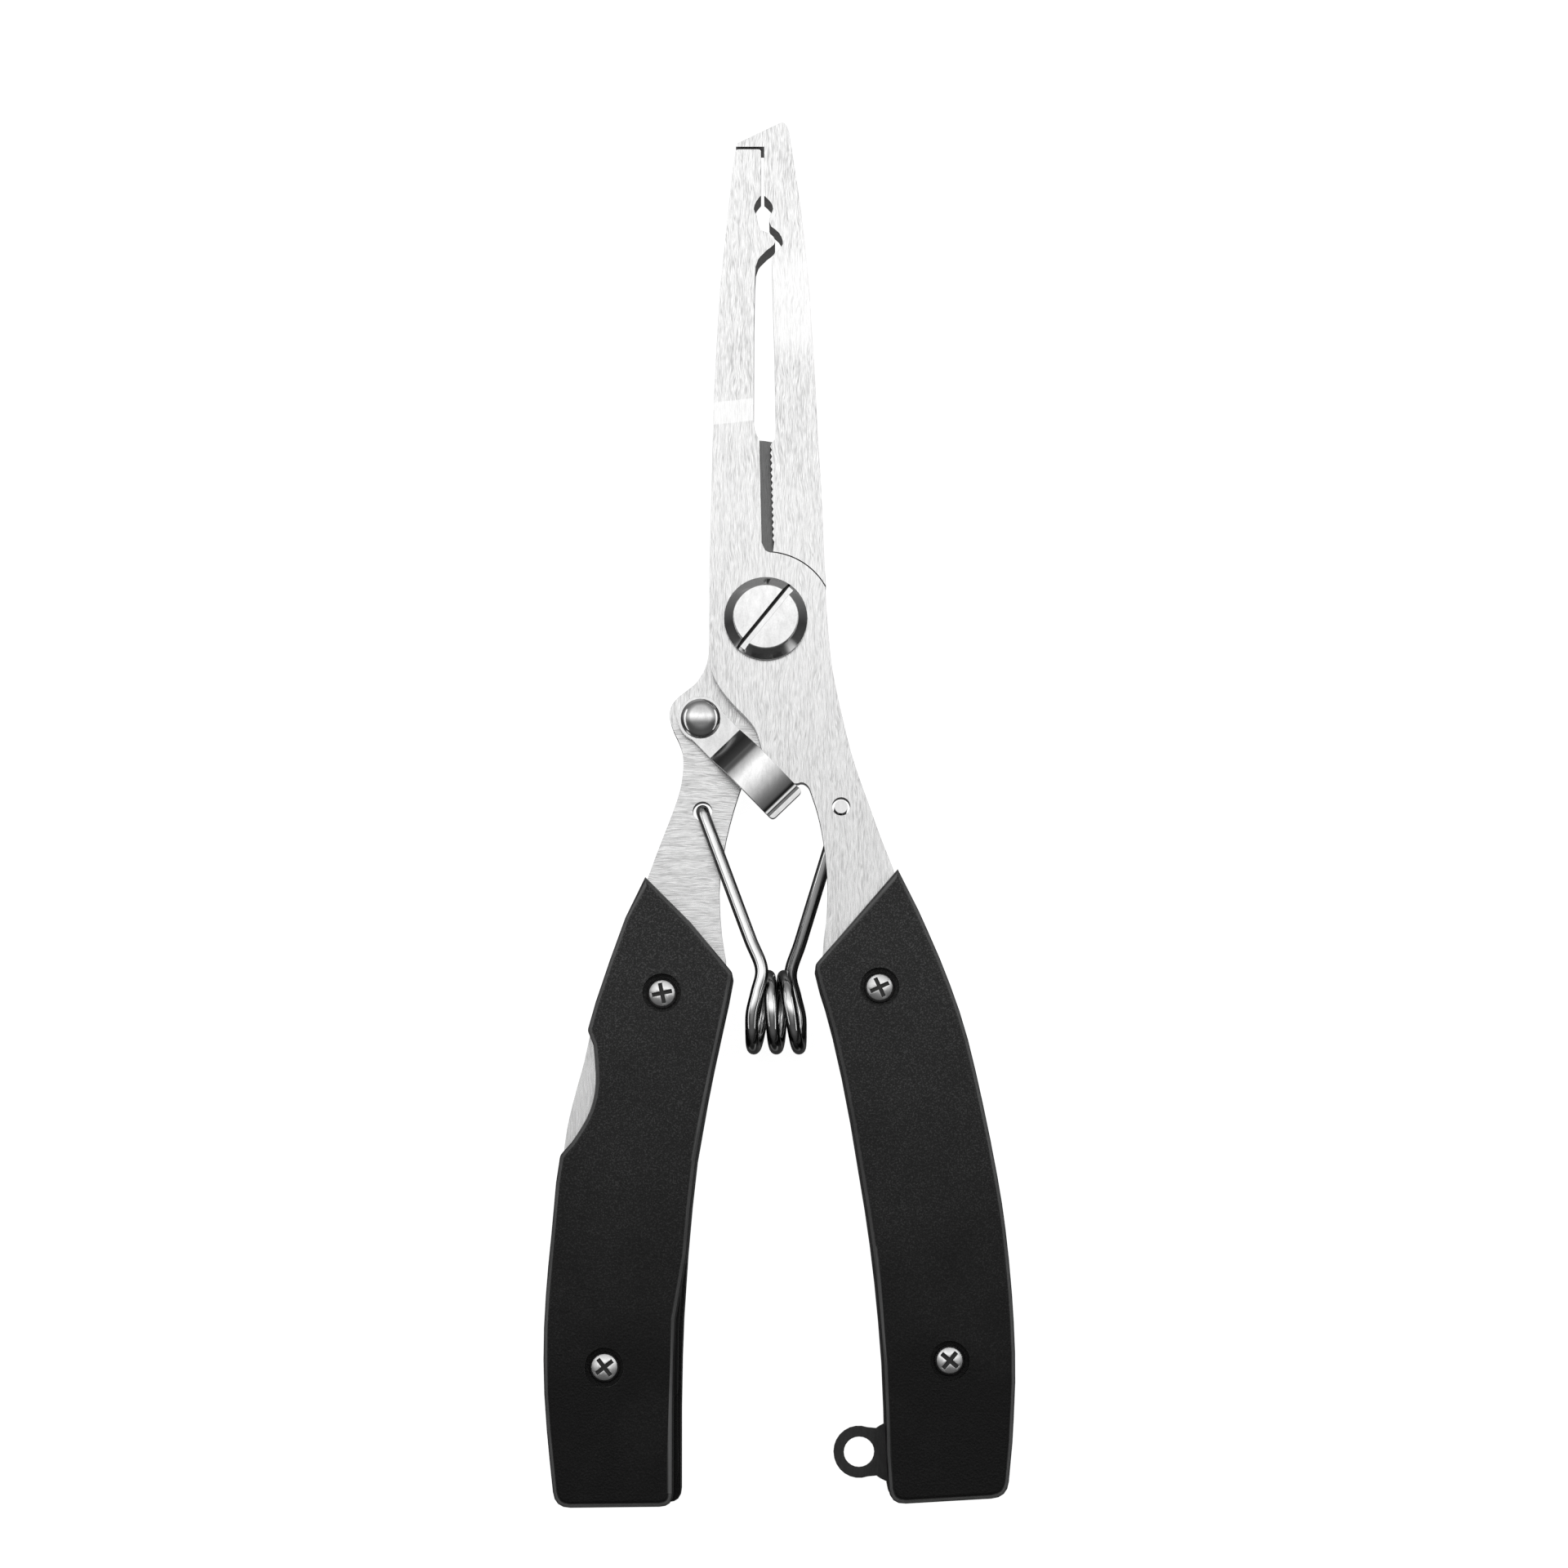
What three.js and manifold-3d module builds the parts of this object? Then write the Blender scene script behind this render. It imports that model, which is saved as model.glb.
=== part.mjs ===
// Fishing pliers lying flat: jaws towards +Y, handles towards -Y, front face up (+Z), millimetres.
// The levers cross at the pivot in two layers. The front lever joins the right handle to the left jaw,
// and the back lever joins the left handle to the right jaw. Both jaws are two layers thick.
import * as THREE from 'three';
import { mergeVertices } from 'three/addons/utils/BufferGeometryUtils.js';
import Module from 'manifold-3d';

const wasm = await Module();
wasm.setup();

// Moves the drawing so that its footprint is centred on the origin.
const FRAME_SHIFT = { x: 0.0, y: -2.05 };

// Levels of the stack, from the back face to the front face.
const BACK_SCALE = { from: 0, to: 4.4 };
const BACK_LAYER = { from: 4.5, to: 7.5 };
const FRONT_LAYER = { from: 7.8, to: 10.8 };
const FRONT_SCALE = { from: 10.9, to: 15.3 };

// Pivot joint.
const PIVOT = { x: -2.1, y: 30.0 };
const SHOULDER_RADIUS = 10.4;
const SHOULDER_GAP = 0.16;
const RUNNING_GAP = 0.3;
const PIVOT_HOLE_RADIUS = 3.1;
const PIVOT_SHANK_RADIUS = 3.0;
const PIVOT_HEAD = { baseRadius: 6.4, topRadius: 5.05, from: 11.1, rim: 11.7, top: 13.4 };
const PIVOT_SLOT = { width: 1.25, depth: 1.2, angle: 51 };
const PIVOT_NUT = { acrossFlats: 10, from: 1.2, to: 3.4 };
const PIVOT_WASHER = { radius: 5.6, from: 3.6, to: 4.3 };

// Cutter beside the pivot.
const CUTTER = { from: 42.0, to: 57.4, teeth: 15, toothDepth: 0.3 };

// Latch: a stepped plate on a rivet, with its raised part across the front lever.
const LATCH_RIVET = { x: -12.1, y: 14.8, headRadius: 3.1, shankRadius: 1.5, holeRadius: 1.6 };
const LATCH_ANGLE = -46;
const LATCH_WIDTH = 6.3;
const LATCH_EYE_RADIUS = 3.5;
const LATCH_LENGTH = 19.2;
const LATCH_LOW = { from: 8.1, to: 9.3 };
const LATCH_HIGH = { from: 11.1 };

// Opening spring: bent wire with a coil across the tool.
const WIRE_RADIUS = 1.0;
const COIL = { x: -0.5, y: -30.1, z: 7.65, radius: 5.45, turns: 2.5 };
const COIL_SPREAD = { top: 2.3, bottom: 3.4 };
const LEFT_HOOK = { x: -11.8, y: 0.7, holeRadius: 1.5 };
const RIGHT_HOOK = { x: 9.4, y: 1.1, holeRadius: 1.4 };

// Handle fasteners.
const SCREWS = {
  left_upper: { x: -17.7, y: -27.6, turn: 12 },
  left_lower: { x: -26.1, y: -83.4, turn: 38 },
  right_upper: { x: 15.1, y: -26.7, turn: 25 },
  right_lower: { x: 25.4, y: -82.4, turn: 50 },
};
const SLEEVE_RADIUS = 1.7;
const SLEEVE_HOLE_RADIUS = 1.8;
const SCREW_HEAD_RADIUS = 2.3;
const RECESS = { radius: 2.95, depth: 2.0 };

// Folding knife in the left handle.
const BLADE = { from: 8.1, to: 10.5 };
const BACK_SPRING_PIN = { x: -15.5, y: -46, radius: 1.0 };
const BLADE_STOP_PIN = { x: -21.9, y: -72, radius: 0.8 };

// Lanyard tab on the right handle.
const LANYARD = { x: 12.0, y: -96.3, holeRadius: 2.3, radius: 3.85, from: 5.0, to: 7.0 };

const SCALE_ROUNDING = 1.1;

const COLOURS = {
  steel: { color: 0xc9c9c6, metalness: 0.9, roughness: 0.35 },
  polished: { color: 0xd6d6d4, metalness: 1.0, roughness: 0.15 },
  plastic: { color: 0x1d1d1e, metalness: 0.0, roughness: 0.7 },
  darkSteel: { color: 0x4a4b4d, metalness: 0.6, roughness: 0.5 },
};

// ---- Outlines -------------------------------------------------------------------------------

function curve(points, spans) {
  const path = new THREE.SplineCurve(points.map(([x, y]) => new THREE.Vector2(x, y)));
  return path.getPoints(spans).map((p) => [p.x, p.y]);
}

function arc(centre, radius, fromDegrees, toDegrees, spans) {
  const points = [];
  for (let i = 0; i <= spans; i += 1) {
    const angle = THREE.MathUtils.degToRad(fromDegrees + ((toDegrees - fromDegrees) * i) / spans);
    points.push([centre.x + radius * Math.cos(angle), centre.y + radius * Math.sin(angle)]);
  }
  return points;
}

// Rounds each point that carries a radius as its third number.
function outline(...runs) {
  const points = runs.flat();
  const out = [];
  points.forEach(([x, y, radius], i) => {
    const here = new THREE.Vector2(x, y);
    if (!radius) {
      out.push(here);
      return;
    }
    const before = points[(i + points.length - 1) % points.length];
    const after = points[(i + 1) % points.length];
    const back = new THREE.Vector2(before[0] - x, before[1] - y);
    const ahead = new THREE.Vector2(after[0] - x, after[1] - y);
    const half = Math.abs(back.angleTo(ahead)) / 2;
    const reach = Math.min(radius / Math.tan(half), back.length() * 0.48, ahead.length() * 0.48);
    const start = here.clone().addScaledVector(back.normalize(), reach);
    const end = here.clone().addScaledVector(ahead.normalize(), reach);
    out.push(...new THREE.QuadraticBezierCurve(start, here, end).getPoints(4));
  });
  return withoutStraightPoints(out);
}

// Leaves out each point that lies on the line between its neighbours.
function withoutStraightPoints(points) {
  return points.filter((here, i) => {
    const before = points[(i + points.length - 1) % points.length];
    const after = points[(i + 1) % points.length];
    const back = here.clone().sub(before).normalize();
    const ahead = after.clone().sub(here).normalize();
    return Math.abs(back.cross(ahead)) > 1e-4;
  });
}

// ---- Solids ---------------------------------------------------------------------------------

function toSolid(geometry) {
  const bare = geometry.clone();
  bare.deleteAttribute('normal');
  bare.deleteAttribute('uv');
  const merged = mergeVertices(bare, 1e-4);
  return new wasm.Manifold(new wasm.Mesh({
    numProp: 3,
    vertProperties: new Float32Array(merged.attributes.position.array),
    triVerts: new Uint32Array(merged.index.array),
  }));
}

function plate(points, level) {
  const options = { depth: level.to - level.from, bevelEnabled: false };
  const geometry = new THREE.ExtrudeGeometry(new THREE.Shape(points), options);
  geometry.translate(0, 0, level.from);
  return toSolid(geometry);
}

function disc({ x, y }, radius, from, to, sides = 24) {
  const geometry = new THREE.CylinderGeometry(radius, radius, to - from, sides);
  geometry.rotateX(Math.PI / 2);
  geometry.translate(x, y, (from + to) / 2);
  return toSolid(geometry);
}

function turned({ x, y }, profile, sides = 24) {
  const geometry = new THREE.LatheGeometry(profile.map(([r, z]) => new THREE.Vector2(r, z)), sides);
  geometry.rotateX(Math.PI / 2);
  geometry.translate(x, y, 0);
  return toSolid(geometry);
}

function block({ x, y }, width, length, from, to, degrees = 0) {
  const geometry = new THREE.BoxGeometry(width, length, to - from);
  geometry.rotateZ(THREE.MathUtils.degToRad(degrees));
  geometry.translate(x, y, (from + to) / 2);
  return toSolid(geometry);
}

function hole(at, radius, sides = 24) {
  return disc(at, radius, -5, 20, sides);
}

function drilled(solid, holes) {
  return holes.reduce((left, cut) => left.subtract(cut), solid);
}

// ---- Jaws and levers ------------------------------------------------------------------------

const LEFT_JAW_OUTER = curve([
  [-7.0, 102.6], [-7.3, 100.5], [-8.1, 92.6], [-9.2, 81.7], [-10.0, 67.3],
  [-10.3, 58.6], [-10.5, 48.7], [-10.75, 38.0],
], 14);

const RIGHT_JAW_OUTER = curve([
  [1.5, 106.6], [2.3, 101.2], [3.4, 93.6], [4.6, 81.7], [5.5, 67.3],
  [5.9, 58.6], [6.4, 50.6], [6.95, 38.0],
], 14);

const LEFT_JAW_FACE = [
  ...curve([[-4.0, 61.0], [-4.0, 72.0], [-3.9, 80.0], [-3.7, 85.2], [-3.0, 86.8]], 8),
  ...curve([[-1.9, 87.9], [-0.9, 88.7], [-0.7, 89.5], [-1.4, 90.4], [-3.0, 91.0]], 8),
  ...curve([[-3.4, 92.2], [-3.55, 93.3], [-4.0, 94.4], [-3.6, 95.6], [-2.9, 96.5]], 8),
];

const RIGHT_JAW_FACE = [
  ...curve([[-0.6, 60.5], [-0.75, 70.0], [-1.0, 80.0], [-1.2, 86.4]], 5),
  ...curve([[-0.7, 87.3], [0.3, 88.4], [0.5, 89.3], [-0.1, 90.6], [-1.3, 91.6]], 8),
  ...curve([[-1.6, 92.4], [-1.45, 93.4], [-1.0, 94.4], [-1.4, 95.5], [-2.4, 96.5]], 8),
];

const BEAK = [[-2.4, 104.3], [-6.8, 104.3], [-6.6, 104.85], [0.8, 108.45, 1.0]];

function serratedEdge() {
  const points = [];
  const pitch = (CUTTER.to - CUTTER.from) / CUTTER.teeth;
  for (let i = 0; i < CUTTER.teeth; i += 1) {
    const y = CUTTER.from + i * pitch;
    const x = -0.8 - (0.4 * i) / CUTTER.teeth;
    points.push([x, y], [x - CUTTER.toothDepth, y + pitch * 0.5]);
  }
  return points;
}

const RIGHT_TANG = [
  [6.6, -21.5], [6.3, -24.4, 0.8],
  ...curve([[7.4, -28.2], [9.5, -37.0], [11.8, -49.0], [13.6, -60.0], [15.2, -74.5], [16.2, -88.0], [16.5, -98.0]], 12),
  [17.2, -102.7, 1.8], [33.2, -102.0, 2.2],
  ...curve([
    [34.2, -95.5], [34.6, -84.5], [34.3, -74.5], [33.4, -64.0], [31.5, -51.6], [29.5, -41.5],
    [27.0, -31.8], [23.8, -23.0], [20.5, -15.4], [17.7, -9.6],
  ], 20),
];

const LEFT_TANG_INNER = curve([
  [-8.1, -26.4], [-9.7, -34.0], [-11.3, -41.6], [-13.0, -52.0], [-14.4, -65.0], [-15.2, -77.0],
  [-15.4, -88.0], [-15.2, -98.5],
], 12);

const LEFT_TANG_OUTER = [
  ...curve([[-33.8, -96.5], [-34.4, -88.3], [-34.6, -79.4], [-34.1, -70.6], [-33.2, -61.0], [-32.5, -54.0]], 8),
  ...curve([
    [-31.4, -51.2], [-29.6, -48.6], [-28.1, -45.6], [-27.3, -42.6], [-27.1, -39.6], [-27.3, -36.7],
    [-27.9, -34.2], [-28.1, -32.4],
  ], 12),
  ...curve([[-27.2, -29.0], [-25.1, -22.8], [-22.8, -16.4], [-20.6, -10.9]], 6),
];

const FRONT_LEVER_INNER = curve([
  [-10.75, 24.3], [-10.2, 21.4], [-8.8, 18.9], [-6.8, 16.5], [-5.1, 14.8], [-3.7, 13.0],
  [-2.9, 10.6], [-2.4, 8.6], [-1.2, 6.4], [0.6, 5.0], [2.4, 4.6], [3.5, 4.8], [4.4, 4.2],
  [4.9, 3.0], [5.8, 0.2], [6.5, -3.0], [7.0, -6.5], [7.35, -11.1], [7.2, -15.7], [6.8, -18.7],
], 46);

const FRONT_LEVER_OUTER = curve([
  [17.2, -8.2], [15.4, -3.6], [13.5, 1.8], [12.3, 5.1], [10.9, 9.5], [9.7, 14.4], [8.7, 19.0],
  [8.0, 22.8], [7.5, 27.7], [7.2, 31.5],
], 18);

const BACK_LEVER_INNER = curve([
  [7.0, 26.0], [6.2, 22.4], [4.6, 19.3], [2.6, 16.8], [0.9, 15.0], [-1.0, 12.6], [-3.0, 9.5],
  [-4.9, 6.6], [-6.1, 3.8], [-7.3, -0.1], [-8.4, -4.8], [-9.2, -10.8], [-8.9, -17.6], [-8.2, -22.0],
], 28);

const BACK_LEVER_OUTER = curve([
  [-19.9, -8.9], [-18.7, -5.6], [-17.4, -2.2], [-16.1, 1.2], [-15.2, 4.1], [-14.8, 6.8],
  [-14.8, 9.2], [-15.4, 11.3], [-16.3, 13.2], [-16.9, 15.3], [-16.6, 17.0], [-15.6, 18.3],
  [-14.2, 19.4], [-12.7, 20.7], [-11.6, 22.5], [-10.95, 24.6], [-10.75, 28.0],
], 36);

function buildFrontLever() {
  const plateOutline = outline(
    [[-2.9, 103.9, 0.4], [-6.8, 103.9, 0.5]],
    LEFT_JAW_OUTER, FRONT_LEVER_INNER, RIGHT_TANG, FRONT_LEVER_OUTER,
    arc(PIVOT, SHOULDER_RADIUS, 28.5, 87, 10),
    [[-2.2, 40.7], [-2.75, 41.9], [-3.1, 58.0], [-3.5, 58.6], [-3.85, 59.6]],
    LEFT_JAW_FACE,
  );
  const jawOutline = outline(
    [[-2.9, 103.9, 0.4], [-6.8, 103.9, 0.5]],
    LEFT_JAW_OUTER,
    arc(PIVOT, SHOULDER_RADIUS + SHOULDER_GAP, 144, 98, 8),
    [[-3.6, 41.2], [-3.65, 58.9], [-3.85, 59.6]],
    LEFT_JAW_FACE,
  );
  const jaw = plate(jawOutline, { from: BACK_LAYER.from, to: FRONT_LAYER.from + 1 });
  return drilled(plate(plateOutline, FRONT_LAYER).add(jaw), [
    hole(PIVOT, PIVOT_HOLE_RADIUS, 32),
    hole(RIGHT_HOOK, RIGHT_HOOK.holeRadius),
    hole(SCREWS.right_upper, SLEEVE_HOLE_RADIUS),
    hole(SCREWS.right_lower, SLEEVE_HOLE_RADIUS),
  ]);
}

function buildBackLever() {
  const plateOutline = outline(
    BEAK, RIGHT_JAW_OUTER, BACK_LEVER_INNER, LEFT_TANG_INNER,
    [[-15.8, -103.2, 1.5], [-33.0, -103.3, 2.2]],
    LEFT_TANG_OUTER, BACK_LEVER_OUTER,
    arc(PIVOT, SHOULDER_RADIUS, 145.5, 97, 10),
    [[-3.3, 41.0], [-3.3, 58.6], [-0.8, 58.2], [-0.6, 59.2]],
    RIGHT_JAW_FACE,
  );
  const jawOutline = outline(
    BEAK, RIGHT_JAW_OUTER,
    arc(PIVOT, SHOULDER_RADIUS + SHOULDER_GAP, 29, 84, 10),
    serratedEdge(),
    [[-1.2, 57.5], [-0.7, 57.95], [-0.6, 59.0]],
    RIGHT_JAW_FACE,
  );
  const jaw = plate(jawOutline, { from: BACK_LAYER.to - 1, to: FRONT_LAYER.to });
  return drilled(plate(plateOutline, BACK_LAYER).add(jaw), [
    hole(PIVOT, PIVOT_HOLE_RADIUS, 32),
    hole(LATCH_RIVET, LATCH_RIVET.holeRadius),
    hole(LEFT_HOOK, LEFT_HOOK.holeRadius),
    hole(SCREWS.left_upper, SLEEVE_HOLE_RADIUS),
    hole(SCREWS.left_lower, SLEEVE_HOLE_RADIUS),
  ]);
}

// ---- Pivot fasteners ------------------------------------------------------------------------

function buildPivotScrew() {
  const { baseRadius, topRadius, from, rim, top } = PIVOT_HEAD;
  const screw = turned(PIVOT, [
    [0, 1.6], [2.3, 1.6], [2.7, 2.0], [2.7, 3.5], [PIVOT_SHANK_RADIUS, 3.5], [PIVOT_SHANK_RADIUS, from],
    [baseRadius, from], [baseRadius, rim], [topRadius, top - 0.15], [topRadius - 0.3, top], [0, top],
  ], 48);
  const slot = block(PIVOT, 20, PIVOT_SLOT.width, top - PIVOT_SLOT.depth, top + 2, PIVOT_SLOT.angle);
  return screw.subtract(slot);
}

function buildPivotNut() {
  const { acrossFlats, from, to } = PIVOT_NUT;
  const hexagon = disc(PIVOT, acrossFlats / Math.sqrt(3), from, to, 6);
  return hexagon.subtract(hole(PIVOT, PIVOT_SHANK_RADIUS));
}

function buildPivotWasher() {
  const { radius, from, to } = PIVOT_WASHER;
  return disc(PIVOT, radius, from, to, 36).subtract(hole(PIVOT, PIVOT_HOLE_RADIUS));
}

// ---- Latch ----------------------------------------------------------------------------------

// Side view of the plate as distance from the rivet and height: low at the rivet, arched beyond
// the step, and raised to a lip at the end.
function latchProfile() {
  return [
    [-5, LATCH_LOW.from], [5.9, LATCH_LOW.from], [9.0, LATCH_HIGH.from], [17.8, LATCH_HIGH.from],
    [20.5, 11.5], [20.5, 13.1], [18.5, 13.1], [18.2, 12.9], [17.9, 12.35], [17.4, 12.2],
    [16.2, 12.48], [14.8, 12.68], [13.4, 12.76], [12.2, 12.74], [10.8, 12.62], [9.6, 12.4],
    [8.6, 12.05], [5.4, LATCH_LOW.to], [-5, LATCH_LOW.to],
  ].map(([along, height]) => new THREE.Vector2(along, height));
}

function buildLatchPlate() {
  const side = new THREE.ExtrudeGeometry(new THREE.Shape(latchProfile()), { depth: 10, bevelEnabled: false });
  side.translate(0, 0, -5);
  side.rotateX(Math.PI / 2);
  const half = LATCH_WIDTH / 2;
  const plan = outline(
    arc({ x: 0, y: 0 }, LATCH_EYE_RADIUS, 65, 295, 16),
    [[3.2, -half, 1.5], [LATCH_LENGTH, -half, 0.7], [LATCH_LENGTH, half, 0.7], [3.2, half, 1.5]],
  );
  const body = toSolid(side).intersect(plate(plan, { from: 0, to: 20 }));
  const eye = hole({ x: 0, y: 0 }, LATCH_RIVET.holeRadius);
  return body.subtract(eye).rotate([0, 0, LATCH_ANGLE]).translate([LATCH_RIVET.x, LATCH_RIVET.y, 0]);
}

function buildLatchRivet() {
  const { headRadius, shankRadius } = LATCH_RIVET;
  return turned(LATCH_RIVET, [
    [0, 3.2], [2.0, 3.3], [2.6, 3.8], [2.6, 4.3], [shankRadius, 4.3], [shankRadius, 9.4],
    [headRadius, 9.4], [headRadius * 0.97, 9.75], [headRadius * 0.82, 10.25], [headRadius * 0.5, 10.65], [0, 10.8],
  ], 28);
}

function buildLatchWasher() {
  return disc(LATCH_RIVET, 3.3, 7.6, 8.0, 28).subtract(hole(LATCH_RIVET, LATCH_RIVET.holeRadius));
}

// ---- Opening spring -------------------------------------------------------------------------

// A point on the coil's centre line. The strands stand further apart at the bottom than at the top.
function coilPoint(degrees, turnsSoFar) {
  const angle = THREE.MathUtils.degToRad(degrees);
  const low = (1 - Math.cos(angle)) / 2;
  const pitch = COIL_SPREAD.top + (COIL_SPREAD.bottom - COIL_SPREAD.top) * low;
  return new THREE.Vector3(
    COIL.x + (turnsSoFar - COIL.turns / 2) * pitch,
    COIL.y + COIL.radius * Math.cos(angle),
    COIL.z + COIL.radius * Math.sin(angle),
  );
}

function springPath() {
  const points = [
    new THREE.Vector3(LEFT_HOOK.x, LEFT_HOOK.y, 5.0),
    new THREE.Vector3(LEFT_HOOK.x, LEFT_HOOK.y, 7.2),
    new THREE.Vector3(LEFT_HOOK.x + 0.1, LEFT_HOOK.y - 0.4, 8.4),
  ];
  const leftLeg = [
    new THREE.Vector3(LEFT_HOOK.x + 0.5, LEFT_HOOK.y - 1.5, 8.85),
    new THREE.Vector3(-2.7, -24.0, 12.9),
    new THREE.Vector3(-3.4, -27.4, 13.1),
  ];
  const rightLeg = [
    new THREE.Vector3(2.4, -27.4, 2.2),
    new THREE.Vector3(1.7, -24.0, 2.4),
    new THREE.Vector3(RIGHT_HOOK.x - 0.35, RIGHT_HOOK.y - 1.5, 6.45),
  ];
  points.push(leftLeg[0]);
  for (const share of [0.2, 0.5, 0.8]) {
    points.push(leftLeg[0].clone().lerp(leftLeg[1], share));
  }
  points.push(leftLeg[1], leftLeg[2]);
  const first = 95;
  const last = 265 + 720;
  const samples = 32;
  for (let i = 0; i <= samples; i += 1) {
    const share = i / samples;
    points.push(coilPoint(first + (last - first) * share, COIL.turns * share));
  }
  points.push(rightLeg[0], rightLeg[1]);
  for (const share of [0.2, 0.5, 0.8]) {
    points.push(rightLeg[1].clone().lerp(rightLeg[2], share));
  }
  points.push(rightLeg[2]);
  points.push(new THREE.Vector3(RIGHT_HOOK.x - 0.1, RIGHT_HOOK.y - 0.4, 6.95));
  points.push(new THREE.Vector3(RIGHT_HOOK.x, RIGHT_HOOK.y, 8.1));
  points.push(new THREE.Vector3(RIGHT_HOOK.x, RIGHT_HOOK.y, 10.4));
  return new THREE.CatmullRomCurve3(points, false, 'centripetal');
}

function buildOpeningSpring() {
  const section = new THREE.Shape(outline(arc({ x: 0, y: 0 }, WIRE_RADIUS, 0, 324, 9)));
  const geometry = new THREE.ExtrudeGeometry(section, { steps: 120, bevelEnabled: false, extrudePath: springPath() });
  return toSolid(geometry);
}

// ---- Handles --------------------------------------------------------------------------------

const LEFT_SCALE_OUTER = [
  [-20.3, -10.0],
  ...curve([[-23.3, -16.2], [-25.6, -22.6], [-27.7, -28.9]], 4),
  [-28.9, -33.2, 1.2],
  ...curve([
    [-28.0, -35.4], [-27.65, -39.6], [-27.8, -42.6], [-28.5, -45.3], [-29.7, -47.7], [-31.2, -50.0],
  ], 10),
  [-32.9, -51.9, 1.5],
  ...curve([[-33.5, -56.0], [-34.1, -63.2], [-34.8, -71.0], [-35.2, -79.4], [-35.0, -88.3], [-34.2, -97.0]], 9),
  [-33.4, -104.1, 2.6],
];

const LEFT_SCALE_TOP = [[-7.0, -24.6, 1.2], [-13.4, -16.9]];

const RIGHT_SCALE = [
  [17.9, -8.8],
  [5.3, -23.4, 1.2],
  ...curve([
    [6.2, -27.0], [7.8, -32.4], [10.1, -42.8], [12.2, -55.0], [13.7, -64.8], [14.8, -74.5],
    [15.6, -85.0], [15.9, -96.0],
  ], 12),
  [16.4, -103.6, 2.4], [33.9, -102.6, 2.8],
  ...curve([
    [34.7, -94.5], [35.2, -84.5], [34.9, -74.5], [34.0, -64.0], [32.7, -55.0], [30.3, -42.8],
    [27.8, -32.4], [24.6, -23.3], [21.0, -15.0],
  ], 18),
];

// The front scale stops short of the knife's back spring along the lower inner edge.
function leftScale(lowerInnerX) {
  return outline(
    LEFT_SCALE_OUTER,
    [[lowerInnerX, -103.9, 2.0]],
    curve([[lowerInnerX, -97.0], [lowerInnerX, -86.0], [lowerInnerX + 0.3, -76.3]], 3),
    curve([[-13.9, -66.9], [-12.8, -55.0], [-11.6, -47.5], [-10.2, -40.0], [-8.7, -33.0], [-7.7, -28.4]], 8),
    LEFT_SCALE_TOP,
  );
}

// A handle scale: flat against the lever, with rounded edges on its outer face.
function scale(points, level, facesUp, screws) {
  const thickness = level.to - level.from;
  const geometry = new THREE.ExtrudeGeometry(new THREE.Shape(points), {
    depth: 2 * thickness - 2 * SCALE_ROUNDING,
    bevelThickness: SCALE_ROUNDING,
    bevelSize: SCALE_ROUNDING,
    bevelOffset: -SCALE_ROUNDING,
    bevelSegments: 3,
  });
  geometry.translate(0, 0, (facesUp ? level.from - thickness : level.from) + SCALE_ROUNDING);
  const kept = block({ x: 0, y: -50 }, 100, 200, level.from, level.to);
  const recessFrom = facesUp ? level.to - RECESS.depth : -5;
  const recessTo = facesUp ? 20 : level.from + RECESS.depth;
  const cuts = screws.flatMap((at) => [
    hole(at, SLEEVE_HOLE_RADIUS),
    disc(at, RECESS.radius, recessFrom, recessTo, 28),
  ]);
  return drilled(toSolid(geometry).intersect(kept), cuts);
}

function buildLanyardPlate() {
  const liner = plate(outline(
    [[17.4, -10.6]],
    [[6.3, -24.4, 0.8]],
    curve([[7.4, -28.2], [9.5, -37.0], [11.8, -49.0], [13.6, -60.0], [15.2, -74.5], [16.2, -88.0], [16.5, -98.0]], 12),
    [[17.2, -102.7, 1.8], [33.2, -102.0, 2.2]],
    curve([
      [34.2, -95.5], [34.6, -84.5], [34.3, -74.5], [33.4, -64.0], [31.5, -51.6], [29.5, -41.5],
      [27.0, -31.8], [23.8, -23.0], [20.5, -15.4],
    ], 16),
  ), BACK_LAYER);
  const tab = plate(outline(
    arc(LANYARD, LANYARD.radius, 70, 290, 16),
    curve([[14.6, -99.8], [16.0, -100.6], [18.5, -100.9]], 4),
    curve([[18.5, -91.7], [16.0, -92.0], [14.6, -92.8]], 4),
  ), LANYARD);
  return drilled(liner.add(tab), [
    hole(LANYARD, LANYARD.holeRadius),
    hole(SCREWS.right_upper, SLEEVE_HOLE_RADIUS),
    hole(SCREWS.right_lower, SLEEVE_HOLE_RADIUS),
  ]);
}

function buildScrew(at) {
  const screw = turned(at, [
    [0, 3.4], [1.0, 3.4], [1.0, 13.4], [SCREW_HEAD_RADIUS, 13.4], [SCREW_HEAD_RADIUS, 13.95],
    [1.95, 14.4], [1.2, 14.7], [0, 14.8],
  ], 20);
  return drilled(screw, [
    block(at, 3.1, 0.62, 13.9, 16, at.turn),
    block(at, 3.1, 0.62, 13.9, 16, at.turn + 90),
  ]);
}

function buildSleeveNut(at) {
  const sleeve = turned(at, [
    [0, 0.6], [1.9, 0.6], [SCREW_HEAD_RADIUS, 0.9], [SCREW_HEAD_RADIUS, 1.9], [SLEEVE_RADIUS, 1.9],
    [SLEEVE_RADIUS, 12.8], [1.3, 12.8], [1.3, 3.0], [0, 3.0],
  ], 20);
  return sleeve.subtract(block(at, 6, 0.8, 0, 1.3, at.turn));
}

// ---- Knife ----------------------------------------------------------------------------------

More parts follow.
